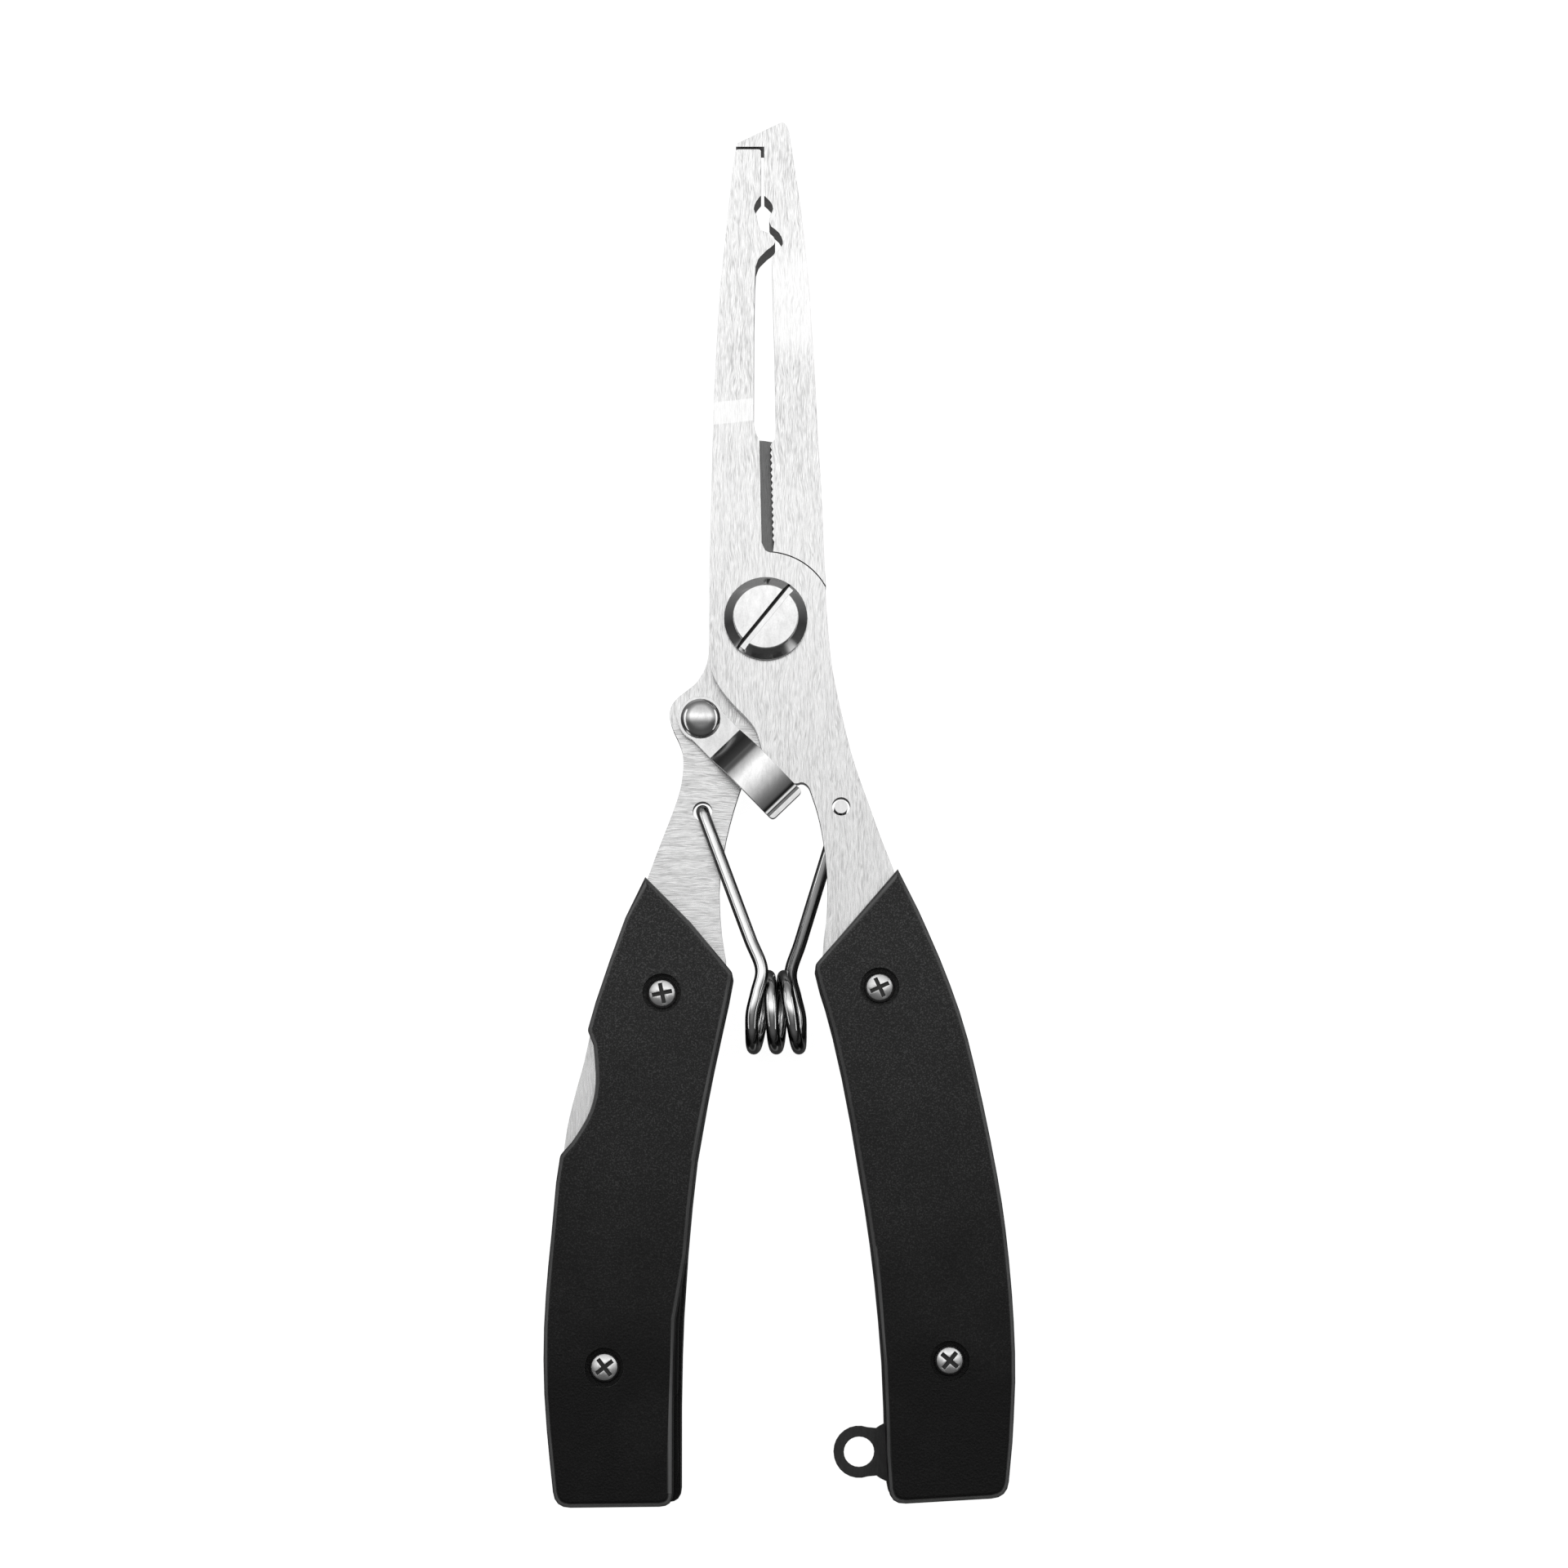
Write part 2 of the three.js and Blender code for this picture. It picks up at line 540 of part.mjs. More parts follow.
function buildKnifeBlade() {
  const pivot = SCREWS.left_lower;
  const blade = plate(outline(
    [[-28.7, -33.8]],
    curve([[-29.6, -38.0], [-30.7, -42.0], [-31.7, -46.0], [-32.4, -50.0], [-32.9, -56.0], [-33.2, -64.0], [-33.2, -72.0], [-32.7, -77.0]], 14),
    arc(pivot, 5.2, 165, 375, 18),
    [[-22.4, -77.2], [-22.9, -75.6, 0.6], [-23.7, -74.6]],
    curve([[-23.6, -66.0], [-23.8, -56.0], [-24.4, -48.0], [-25.6, -41.0], [-27.2, -36.4]], 10),
  ), BLADE);
  const ground = new THREE.ExtrudeGeometry(new THREE.Shape([
    new THREE.Vector2(3, -1), new THREE.Vector2(3, 0.95), new THREE.Vector2(1.2, 0.95), new THREE.Vector2(-3.6, -1),
  ]), { depth: 44, bevelEnabled: false });
  ground.rotateX(Math.PI / 2);
  ground.translate(-24.6, -31.5, BLADE.from);
  const back = toSolid(ground);
  const front = back.mirror([0, 0, 1]).translate([0, 0, BLADE.from + BLADE.to]);
  const nick = block({ x: -30.3, y: -54 }, 0.7, 11, BLADE.to - 0.45, 20, -4);
  return drilled(blade, [back, front, nick, hole(pivot, SLEEVE_HOLE_RADIUS)]);
}

function buildKnifeBackSpring() {
  const body = plate(outline(
    [[-20.1, -11.6, 0.5]],
    curve([[-22.6, -17.2], [-24.9, -23.3], [-26.4, -28.0]], 5),
    [[-26.6, -30.0, 0.8], [-24.6, -31.5]],
    curve([[-22.9, -36.0], [-21.5, -44.0], [-20.7, -54.0], [-20.6, -64.0]], 8),
    [[-20.6, -86.5, 0.6], [-15.3, -88.5, 1.2]],
    curve([[-15.2, -78.0], [-14.4, -67.0], [-13.3, -55.1], [-11.4, -43.0], [-9.7, -34.6], [-8.2, -28.0]], 12),
    [[-7.8, -24.9, 0.8]],
  ), FRONT_LAYER);
  return drilled(body, [
    hole(SCREWS.left_upper, SLEEVE_HOLE_RADIUS),
    hole(BACK_SPRING_PIN, BACK_SPRING_PIN.radius + RUNNING_GAP, 16),
  ]);
}

function buildPin(pin) {
  return disc(pin, pin.radius, 7.6, 10.8, 16);
}

// ---- Assembly -------------------------------------------------------------------------------

function addPiece(group, name, solid, look) {
  const mesh = solid.getMesh();
  const geometry = new THREE.BufferGeometry();
  geometry.setAttribute('position', new THREE.BufferAttribute(mesh.vertProperties, 3));
  geometry.setIndex(new THREE.BufferAttribute(mesh.triVerts, 1));
  geometry.translate(FRAME_SHIFT.x, FRAME_SHIFT.y, 0);
  geometry.computeVertexNormals();
  const piece = new THREE.Mesh(geometry, new THREE.MeshStandardMaterial(look));
  piece.name = name;
  group.add(piece);
}

function buildPliers() {
  const group = new THREE.Group();
  group.name = 'fishing_pliers';
  const { steel, polished, plastic, darkSteel } = COLOURS;
  const leftScrews = [SCREWS.left_upper, SCREWS.left_lower];
  const rightScrews = [SCREWS.right_upper, SCREWS.right_lower];
  const rightScale = outline(RIGHT_SCALE);

  addPiece(group, 'back_lever', buildBackLever(), steel);
  addPiece(group, 'front_lever', buildFrontLever(), steel);
  addPiece(group, 'pivot_screw', buildPivotScrew(), polished);
  addPiece(group, 'pivot_nut', buildPivotNut(), polished);
  addPiece(group, 'pivot_washer', buildPivotWasher(), polished);
  addPiece(group, 'opening_spring', buildOpeningSpring(), polished);
  addPiece(group, 'latch_plate', buildLatchPlate(), polished);
  addPiece(group, 'latch_rivet', buildLatchRivet(), polished);
  addPiece(group, 'latch_washer', buildLatchWasher(), polished);
  addPiece(group, 'left_front_scale', scale(leftScale(-15.8), FRONT_SCALE, true, leftScrews), plastic);
  addPiece(group, 'left_back_scale', scale(leftScale(-14.8), BACK_SCALE, false, leftScrews), plastic);
  addPiece(group, 'right_front_scale', scale(rightScale, FRONT_SCALE, true, rightScrews), plastic);
  addPiece(group, 'right_back_scale', scale(rightScale, BACK_SCALE, false, rightScrews), plastic);
  addPiece(group, 'lanyard_plate', buildLanyardPlate(), darkSteel);
  addPiece(group, 'knife_blade', buildKnifeBlade(), polished);
  addPiece(group, 'knife_back_spring', buildKnifeBackSpring(), steel);
  addPiece(group, 'back_spring_pin', buildPin(BACK_SPRING_PIN), steel);
  addPiece(group, 'blade_stop_pin', buildPin(BLADE_STOP_PIN), steel);
  for (const [place, at] of Object.entries(SCREWS)) {
    addPiece(group, `${place}_screw`, buildScrew(at), polished);
    addPiece(group, `${place}_sleeve_nut`, buildSleeveNut(at), polished);
  }
  return group;
}

const group = buildPliers();
export default group;
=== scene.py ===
import math
import bpy
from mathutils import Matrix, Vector


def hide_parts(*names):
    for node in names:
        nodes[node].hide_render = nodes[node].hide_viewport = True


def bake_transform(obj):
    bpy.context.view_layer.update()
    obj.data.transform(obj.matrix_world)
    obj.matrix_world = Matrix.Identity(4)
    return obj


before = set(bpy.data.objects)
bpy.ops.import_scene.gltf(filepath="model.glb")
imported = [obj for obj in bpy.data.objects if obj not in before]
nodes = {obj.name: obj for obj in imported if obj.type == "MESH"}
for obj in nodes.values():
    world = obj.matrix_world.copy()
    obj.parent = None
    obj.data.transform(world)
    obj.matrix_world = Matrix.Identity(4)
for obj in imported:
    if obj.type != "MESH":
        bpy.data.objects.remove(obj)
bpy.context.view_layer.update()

MM = 0.001

# Camera, in metres, with its lens and sensor in mm.
CAMERA_PLACE = (0.00069, -0.06505, 0.600)
CAMERA_AIM = (0.00069, 0.0027, 0.009)
CAMERA_LENS, CAMERA_SENSOR = 89.23, 36.0
CAMERA_CLIP = (0.01, 50.0)

# Floor, in metres, and its light.
FLOOR_HALF = 8.0
FLOOR_DROP = 0.0004
FLOOR_GREY, FLOOR_GLOW = 0.42, 0.95

# Studio, as (place, light) stops. SKY_BY_HEIGHT runs from the horizon to overhead, SKY_ACROSS and
# WALLS run from -Y to +Y.
STUDIO_STRENGTH = 1.68
SKY_LEAN = 0.3
SKY_BY_HEIGHT = ((0.0, 0.10), (0.12, 0.15), (0.30, 0.22), (0.60, 0.28), (0.76, 0.52), (0.88, 1.0),
                 (1.0, 1.0))
SKY_ACROSS = ((0.0, 0.26), (0.20, 0.18), (0.40, 0.13), (0.46, 0.20), (0.50, 0.34), (0.53, 0.46),
              (0.56, 0.60), (0.60, 0.76), (0.64, 0.82), (0.70, 0.62), (0.80, 0.44), (1.0, 0.40))
WALLS = ((0.0, 0.02), (0.09, 0.05), (0.135, 0.42), (0.175, 0.42), (0.23, 0.04), (0.5, 0.025),
         (0.85, 0.10), (1.0, 0.24))
GROUND_GREY = 0.05

# Strip lights on both sides: size in metres and power in watts.
STRIP_SIZE, STRIP_POWER = (1.6, 0.16), 0.9


# ---- Camera, floor and light ------------------------------------------------------------------

def make_camera():
    cam = bpy.data.cameras.new("camera")
    cam.lens = CAMERA_LENS
    cam.sensor_width = CAMERA_SENSOR
    cam.clip_start, cam.clip_end = CAMERA_CLIP
    obj = bpy.data.objects.new("camera", cam)
    obj.location = CAMERA_PLACE
    aim = Vector(CAMERA_AIM) - obj.location
    obj.rotation_euler = aim.to_track_quat("-Z", "Y").to_euler()
    bpy.context.scene.collection.objects.link(obj)
    bpy.context.scene.camera = obj


class Graph:
    """A short way to write node trees."""

    def __init__(self, tree):
        self.tree = tree
        self.tree.nodes.clear()

    def node(self, kind, inputs=None, **settings):
        n = self.tree.nodes.new(kind)
        for key, value in settings.items():
            setattr(n, key, value)
        for key, value in (inputs or {}).items():
            if isinstance(value, bpy.types.NodeSocket):
                self.tree.links.new(value, n.inputs[key])
            else:
                n.inputs[key].default_value = value
        return n

    def noise(self, vector, scale, detail=4.0, rough=0.6, distort=0.0):
        n = self.node("ShaderNodeTexNoise", {"Vector": vector, "Scale": scale, "Detail": detail,
                                             "Roughness": rough, "Distortion": distort})
        return n.outputs["Fac"]

    def stretch(self, vector, scale):
        return self.node("ShaderNodeMapping", {"Vector": vector, "Scale": scale}).outputs["Vector"]

    def turned(self, vector, angle):
        n = self.node("ShaderNodeVectorRotate", {"Vector": vector, "Angle": angle},
                      rotation_type="Z_AXIS")
        return n.outputs[0]

    def along_from(self, at, centre, degrees):
        """Coordinates measured from a point, with X along a direction given in degrees."""
        away = self.node("ShaderNodeVectorMath", {0: at, 1: centre}, operation="SUBTRACT")
        return self.turned(away.outputs[0], math.radians(-degrees))

    def axis(self, vector, name):
        return self.node("ShaderNodeSeparateXYZ", {0: vector}).outputs[name]

    def remap(self, value, low, high, to_low, to_high, smooth=False):
        n = self.node("ShaderNodeMapRange", {"Value": value, "From Min": low, "From Max": high,
                                             "To Min": to_low, "To Max": to_high})
        n.interpolation_type = "SMOOTHSTEP" if smooth else "LINEAR"
        return n.outputs["Result"]

    def ramp(self, value, stops):
        n = self.node("ShaderNodeValToRGB", {0: value})
        elements = n.color_ramp.elements
        while len(elements) < len(stops):
            elements.new(0.5)
        for element, (place, light) in zip(elements, stops):
            element.position = place
            element.color = grey(light)
        return n.outputs[0]

    def box_mask(self, at, low, high, soft=0.00005):
        """1 inside a box, given by its lowest and highest corners in mm."""
        parts = self.node("ShaderNodeSeparateXYZ", {0: at})
        inside = None
        for axis, a, b in zip("XYZ", low, high):
            value = parts.outputs[axis]
            rise = self.remap(value, a * MM - soft, a * MM + soft, 0.0, 1.0)
            fall = self.remap(value, b * MM - soft, b * MM + soft, 1.0, 0.0)
            both = self.math("MULTIPLY", rise, fall)
            inside = both if inside is None else self.math("MULTIPLY", inside, both)
        return inside

    def math(self, operation, a, b=0.0):
        n = self.node("ShaderNodeMath", {0: a, 1: b}, operation=operation)
        return n.outputs["Value"]

    def mix(self, factor, a, b):
        n = self.node("ShaderNodeMix", data_type="RGBA")
        for index, value in ((0, factor), (6, a), (7, b)):
            if isinstance(value, bpy.types.NodeSocket):
                self.tree.links.new(value, n.inputs[index])
            else:
                n.inputs[index].default_value = value
        return n.outputs[2]

    def blend_values(self, factor, a, b):
        n = self.node("ShaderNodeMix", {0: factor, 2: a, 3: b}, data_type="FLOAT")
        return n.outputs[0]

    def bump(self, height, strength, distance):
        n = self.node("ShaderNodeBump", {"Height": height, "Strength": strength,
                                         "Distance": distance})
        return n.outputs["Normal"]


def grey(value, warm=0.0):
    return (value + warm, value, value - warm, 1.0)


def make_floor():
    """A pale sheet with a glow of its own, which the steel doesn't reflect."""
    far = FLOOR_HALF
    mesh = bpy.data.meshes.new("floor")
    mesh.from_pydata([(-far, -far, 0), (far, -far, 0), (far, far, 0), (-far, far, 0)],
                     [], [(0, 1, 2, 3)])
    floor = bpy.data.objects.new("floor", mesh)
    floor.location = (0.0, 0.0, -FLOOR_DROP)
    floor.visible_glossy = False
    bpy.context.scene.collection.objects.link(floor)
    mat = bpy.data.materials.new("floor_paper")
    mat.use_nodes = True
    g = Graph(mat.node_tree)
    out = g.node("ShaderNodeOutputMaterial")
    shader = g.node("ShaderNodeBsdfPrincipled", {
        "Base Color": grey(FLOOR_GREY), "Roughness": 0.9, "Specular IOR Level": 0.0,
        "Emission Color": grey(1.0), "Emission Strength": FLOOR_GLOW})
    mat.node_tree.links.new(shader.outputs[0], out.inputs[0])
    mesh.materials.append(mat)


def make_world():
    """A studio for the steel to reflect: a bright panel overhead, strongest a little towards +Y,
    with dimmer sky round it, dark walls and a dark ground."""
    world = bpy.data.worlds.new("studio")
    bpy.context.scene.world = world
    world.use_nodes = True
    g = Graph(world.node_tree)
    direction = g.node("ShaderNodeTexCoord").outputs["Generated"]
    parts = g.node("ShaderNodeSeparateXYZ", {0: direction})
    lean = g.math("ADD", parts.outputs["Z"], g.math("MULTIPLY", parts.outputs["Y"], SKY_LEAN))
    height = g.ramp(lean, SKY_BY_HEIGHT)
    place = g.remap(parts.outputs["Y"], -1.0, 1.0, 0.0, 1.0)
    across = g.ramp(place, SKY_ACROSS)
    sky = g.node("ShaderNodeMix", {0: 1.0, 6: height, 7: across}, data_type="RGBA",
                 blend_type="MULTIPLY").outputs[2]
    walls = g.ramp(place, WALLS)
    low = g.mix(g.remap(parts.outputs["Z"], -0.75, -0.5, 0.0, 1.0), grey(GROUND_GREY), walls)
    light = g.mix(g.remap(parts.outputs["Z"], 0.0, 0.10, 0.0, 1.0), low, sky)
    back = g.node("ShaderNodeBackground", {"Color": light, "Strength": STUDIO_STRENGTH})
    out = g.node("ShaderNodeOutputWorld")
    world.node_tree.links.new(back.outputs[0], out.inputs[0])


def make_strip(name, place):
    """A long area light that points at the origin and that the camera doesn't see."""
    data = bpy.data.lights.new(name, "AREA")
    data.shape = "RECTANGLE"
    data.size, data.size_y = STRIP_SIZE
    data.energy = STRIP_POWER
    obj = bpy.data.objects.new(name, data)
    obj.location = place
    obj.rotation_euler = (-Vector(place)).to_track_quat("-Z", "Y").to_euler()
    obj.visible_camera = False
    bpy.context.scene.collection.objects.link(obj)


# ---- Materials ---------------------------------------------------------------------------------

# Places for painted shading. Centres are in metres, boxes in mm, angles in degrees.
PIVOT_CENTRE = (-2.1 * MM, 27.95 * MM, 0.0)
SLOT_ANGLE = 51
SLOT_SIDE = ((-8.0, 0.22, 11.0), (8.0, 0.64, 13.25))
LATCH_CENTRE = (-12.1 * MM, 12.75 * MM, 0.0)
LATCH_ANGLE = -46
LATCH_REACH = 0.020
LATCH_DARK = ((0.268, 0.0), (0.278, 0.75), (0.34, 0.88), (0.405, 0.72), (0.42, 0.40), (0.45, 0.62),
              (0.56, 0.0), (0.72, 0.0), (0.84, 0.55), (0.862, 0.97), (0.875, 0.97), (0.882, 0.0))
PAINTED_SHADE_GREY = 0.02


def new_material(name):
    mat = bpy.data.materials.new(name)
    mat.use_nodes = True
    g = Graph(mat.node_tree)
    shader = g.node("ShaderNodeBsdfPrincipled")
    out = g.node("ShaderNodeOutputMaterial")
    mat.node_tree.links.new(shader.outputs[0], out.inputs[0])
    return mat, g, shader


def plug(g, shader, **sockets):
    names = {"colour": "Base Color", "rough": "Roughness", "normal": "Normal",
             "metal": "Metallic", "specular": "Specular IOR Level"}
    for key, value in sockets.items():
        socket = shader.inputs[names[key]]
        if isinstance(value, bpy.types.NodeSocket):
            g.tree.links.new(value, socket)
        else:
            socket.default_value = value


def edges(g, floor=0.05):
    """1 on the rounded edges between faces and walls, 0 on both."""
    normal = g.node("ShaderNodeTexCoord").outputs["Normal"]
    up = g.math("ABSOLUTE", g.axis(normal, "Z"))
    off_faces = g.remap(up, 0.90, 0.985, 1.0, 0.0)
    off_walls = g.remap(up, floor, floor + 0.25, 0.0, 1.0)
    return g.math("MULTIPLY", off_faces, off_walls)


def grain_field(g, at, turn):
    """Wavy brush marks along +Y, or along +X with a quarter turn: (marks, fine hair)."""
    turned = g.turned(at, turn) if turn else at
    sway = g.noise(g.stretch(turned, (420, 130, 200)), 1.0, 1.0)
    offset = g.node("ShaderNodeCombineXYZ", {
        0: g.remap(sway, 0.3, 0.7, -0.0003, 0.0003), 1: 0.0, 2: 0.0}).outputs[0]
    bent = g.node("ShaderNodeVectorMath", {0: turned, 1: offset}, operation="ADD").outputs[0]
    fibre = g.noise(g.stretch(bent, (4000, 150, 600)), 1.0, 2.0, 0.5)
    ridge = g.math("ABSOLUTE", g.math("SUBTRACT", fibre, 0.5))
    hair = g.noise(g.stretch(bent, (11000, 650, 2500)), 1.0, 2.0, 0.6)
    return g.remap(ridge, 0.0, 0.055, 1.0, 0.0), hair


def brushed_steel(name, light=0.97, dark=0.54, cross_below=None, bands=(), shaded=(), edge=0.045):
    """Satin steel with wavy brush marks, which run across below cross_below, a y in mm.

    bands fade the marks towards the light grey, as painted highlights. shaded holds boxes of
    (lowest corner, highest corner, grey), in mm."""
    mat, g, shader = new_material(name)
    at = g.node("ShaderNodeTexCoord").outputs["Object"]
    marks, hair = grain_field(g, at, 0.0)
    if cross_below is not None:
        y = g.axis(at, "Y")
        below = g.remap(y, (cross_below - 0.5) * MM, (cross_below + 0.5) * MM, 1.0, 0.0)
        marks_across, hair_across = grain_field(g, at, math.pi / 2)
        marks = g.blend_values(below, marks, marks_across)
        hair = g.blend_values(below, hair, hair_across)
    cloud = g.noise(g.stretch(at, (55, 40, 60)), 1.0, 2.0)
    tone = g.math("ADD", g.math("MULTIPLY", marks, 0.55), g.remap(hair, 0.35, 0.65, 0.0, 0.55))
    tone = g.math("MULTIPLY", tone, g.remap(cloud, 0.3, 0.7, 1.0, 0.7))
    # Painted highlight: each band lifts the steel towards the light grey and fades its marks.
    for mask in bands:
        tone = g.math("MULTIPLY", tone, g.math("SUBTRACT", 1.0, mask(g, at)))
    colour = g.mix(tone, grey(light, 0.001), grey(dark, 0.001))
    # Painted shade: the rounded edges darken towards the edge grey, as dark outlines.
    colour = g.mix(g.math("MULTIPLY", edges(g), g.remap(cloud, 0.3, 0.7, 0.95, 0.6)), colour,
                   grey(edge))
    for low, high, depth in shaded:
        colour = g.mix(g.box_mask(at, low, high), colour, grey(depth))
    plug(g, shader, colour=colour, rough=g.remap(tone, 0.0, 1.0, 0.24, 0.38),
         normal=g.bump(tone, 0.25, 0.00002), metal=1.0)
    return mat


def slot_shadow(g, at):
    """Painted shadow on one side of the pivot screw's slot."""
    along = g.along_from(at, PIVOT_CENTRE, SLOT_ANGLE)
    return g.box_mask(along, *SLOT_SIDE)


def latch_painted_shade(g, at):
    """Painted shade on the latch's step and towards its lip, by distance from the rivet."""
    along = g.axis(g.along_from(at, LATCH_CENTRE, LATCH_ANGLE), "X")
    return g.ramp(g.remap(along, 0.0, LATCH_REACH, 0.0, 1.0), LATCH_DARK)


def wire_painted_flanks(g, at):
    """Painted shade on the flanks of the round wire."""
    normal = g.node("ShaderNodeTexCoord").outputs["Normal"]
    up = g.math("ABSOLUTE", g.axis(normal, "Z"))
    flank = g.remap(up, 0.55, 0.80, 0.96, 0.0)
    return g.math("MULTIPLY", flank, g.remap(g.noise(at, 260.0, 2.0), 0.3, 0.6, 0.8, 1.0))


def polished_steel(name, light=0.90, dark=0.74, rough=(0.08, 0.18), shaded=(), painted_shade=None):
    """Bright steel with faint polishing marks.

    shaded holds bands of (lowest z, highest z, grey), in mm. The last argument gives a mask where
    painted shade darkens the steel."""
    mat, g, shader = new_material(name)
    at = g.node("ShaderNodeTexCoord").outputs["Object"]
    smear = g.noise(g.stretch(at, (900, 350, 900)), 1.0, 4.0, 0.6, 0.4)
    fine = g.noise(at, 5200.0, 3.0)
    both = g.math("ADD", g.math("MULTIPLY", smear, 0.7), g.math("MULTIPLY", fine, 0.3))
    colour = g.mix(g.remap(both, 0.35, 0.65, 0.0, 1.0), grey(dark), grey(light))
    colour = g.mix(g.math("MULTIPLY", edges(g), 0.3), colour, grey(0.95))
    for low, high, depth in shaded:
        mask = g.box_mask(at, (-1000, -1000, low), (1000, 1000, high))
        colour = g.mix(mask, colour, grey(depth))
    # Painted shade: the steel darkens towards a near-black grey where the mask is 1.
    if painted_shade:
        colour = g.mix(painted_shade(g, at), colour, grey(PAINTED_SHADE_GREY))
    plug(g, shader, colour=colour, rough=g.remap(both, 0.3, 0.7, rough[1], rough[0]),
         normal=g.bump(both, 0.10, 0.00002), metal=1.0)
    return mat


def moulded_plastic(name):
    """Matt black grip with a fine moulded grain, painted light that grows towards +Y and painted
    highlights on its rounded edges.
    """
    mat, g, shader = new_material(name)
    at = g.node("ShaderNodeTexCoord").outputs["Object"]
    pebble = g.node("ShaderNodeTexVoronoi", {"Vector": at, "Scale": 3400.0},
                    feature="F1").outputs["Distance"]
    speck = g.noise(at, 4200.0, 2.0, 0.7)
    cloud = g.noise(at, 90.0, 3.0)
    height = g.math("ADD", g.math("MULTIPLY", pebble, 0.5), g.math("MULTIPLY", speck, 0.5))
    # Painted light: the grip gets lighter towards +Y, with a random mottle from the cloud on top.
    y = g.axis(at, "Y")
    painted_light = g.remap(y, -0.088, -0.022, 0.0, 1.0)
    painted_light = g.math("ADD", painted_light, g.remap(cloud, 0.3, 0.7, -0.12, 0.12))
    base = g.mix(painted_light, grey(0.0004), grey(0.0280))
    grit = g.mix(painted_light, grey(0.0060), grey(0.1130))
    colour = g.mix(g.remap(speck, 0.50, 0.66, 0.0, 1.0), base, grit)
    # Painted highlight along the rounded edges.
    edge_highlight = g.math("MULTIPLY", edges(g, 0.55), g.remap(cloud, 0.3, 0.7, 0.55, 0.85))
    colour = g.mix(edge_highlight, colour, grey(0.23))
    rough = g.math("ADD", g.remap(height, 0.3, 0.7, 0.46, 0.33),
                   g.remap(cloud, 0.3, 0.7, -0.03, 0.03))
    plug(g, shader, colour=colour, rough=rough, normal=g.bump(height, 0.6, 0.00007),
         specular=0.22)
    return mat


def dark_steel(name):
    """Blackened steel plate."""
    mat, g, shader = new_material(name)
    at = g.node("ShaderNodeTexCoord").outputs["Object"]
    fibre = g.noise(g.stretch(at, (2600, 700, 900)), 1.0, 4.0)
    speck = g.noise(at, 4200.0, 2.0)
    colour = g.mix(fibre, grey(0.030), grey(0.075))
    colour = g.mix(g.math("MULTIPLY", edges(g), 0.7), colour, grey(0.22))
    plug(g, shader, colour=colour, rough=g.remap(speck, 0.3, 0.7, 0.38, 0.52),
         normal=g.bump(fibre, 0.2, 0.00003), metal=0.85)
    return mat


def band_mask(y_low, y_high, slope, soft, x_low, x_high, amount):
    """A soft band across a lever: y runs between two limits that rise with x."""
    def build(g, at):
        parts = g.node("ShaderNodeSeparateXYZ", {0: at})
        x, y = parts.outputs["X"], parts.outputs["Y"]
        level = g.math("SUBTRACT", y, g.math("MULTIPLY", x, slope))
        rise = g.remap(level, y_low - soft, y_low + soft, 0.0, 1.0, smooth=True)
        fall = g.remap(level, y_high - soft, y_high + soft, 1.0, 0.0, smooth=True)
        inside = g.math("MULTIPLY", rise, fall)
        left = g.remap(x, x_low - 0.0004, x_low + 0.0004, 0.0, 1.0)
        right = g.remap(x, x_high - 0.0004, x_high + 0.0004, 1.0, 0.0)
        inside = g.math("MULTIPLY", inside, g.math("MULTIPLY", left, right))
        return g.math("MULTIPLY", inside, amount)
    return build


# ---- Finishing the CAD nodes -------------------------------------------------------------------

FLAT_ANGLE = 0.6       # degrees between facets that are merged into one face
EDGE_ANGLE = 28.0      # degrees from which an edge is rounded
EDGE_SEGMENTS = 3
JOIN_DISTANCE = 0.000002

def smooth_group():
    """Geometry nodes: joins split corners and shades the faces smooth."""
    group = bpy.data.node_groups.new("join_and_smooth", "GeometryNodeTree")
    group.interface.new_socket("Geometry", in_out="INPUT", socket_type="NodeSocketGeometry")
    group.interface.new_socket("Geometry", in_out="OUTPUT", socket_type="NodeSocketGeometry")
    source = group.nodes.new("NodeGroupInput")
    merge = group.nodes.new("GeometryNodeMergeByDistance")
    merge.inputs["Distance"].default_value = JOIN_DISTANCE
    smooth = group.nodes.new("GeometryNodeSetShadeSmooth")
    end = group.nodes.new("NodeGroupOutput")
    group.links.new(source.outputs[0], merge.inputs[0])
    group.links.new(merge.outputs[0], smooth.inputs[0])
    group.links.new(smooth.outputs[0], end.inputs[0])
    return group


JOIN = smooth_group()


def soften(obj, width):
    """Rounds the edges of a CAD node by a small width, in mm."""
    obj.modifiers.new("join", "NODES").node_group = JOIN
    flat = obj.modifiers.new("flat", "DECIMATE")
    flat.decimate_type = "DISSOLVE"
    flat.angle_limit = math.radians(FLAT_ANGLE)
    edge = obj.modifiers.new("edge", "BEVEL")
    edge.width = width * MM
    edge.segments = EDGE_SEGMENTS
    edge.limit_method = "ANGLE"
    edge.angle_limit = math.radians(EDGE_ANGLE)
    edge.use_clamp_overlap = True
    edge.miter_outer = "MITER_ARC"
    normals = obj.modifiers.new("normals", "WEIGHTED_NORMAL")
    normals.mode = "FACE_AREA"
    normals.weight = 60


def dress(names, material, width):
    """Gives CAD nodes a material and rounded edges. The width is in mm."""
    for name in names:
        obj = nodes[name]
        obj.material_slots[0].link = "OBJECT"
        obj.material_slots[0].material = material
        soften(obj, width)


# ---- Opening spring ----------------------------------------------------------------------------

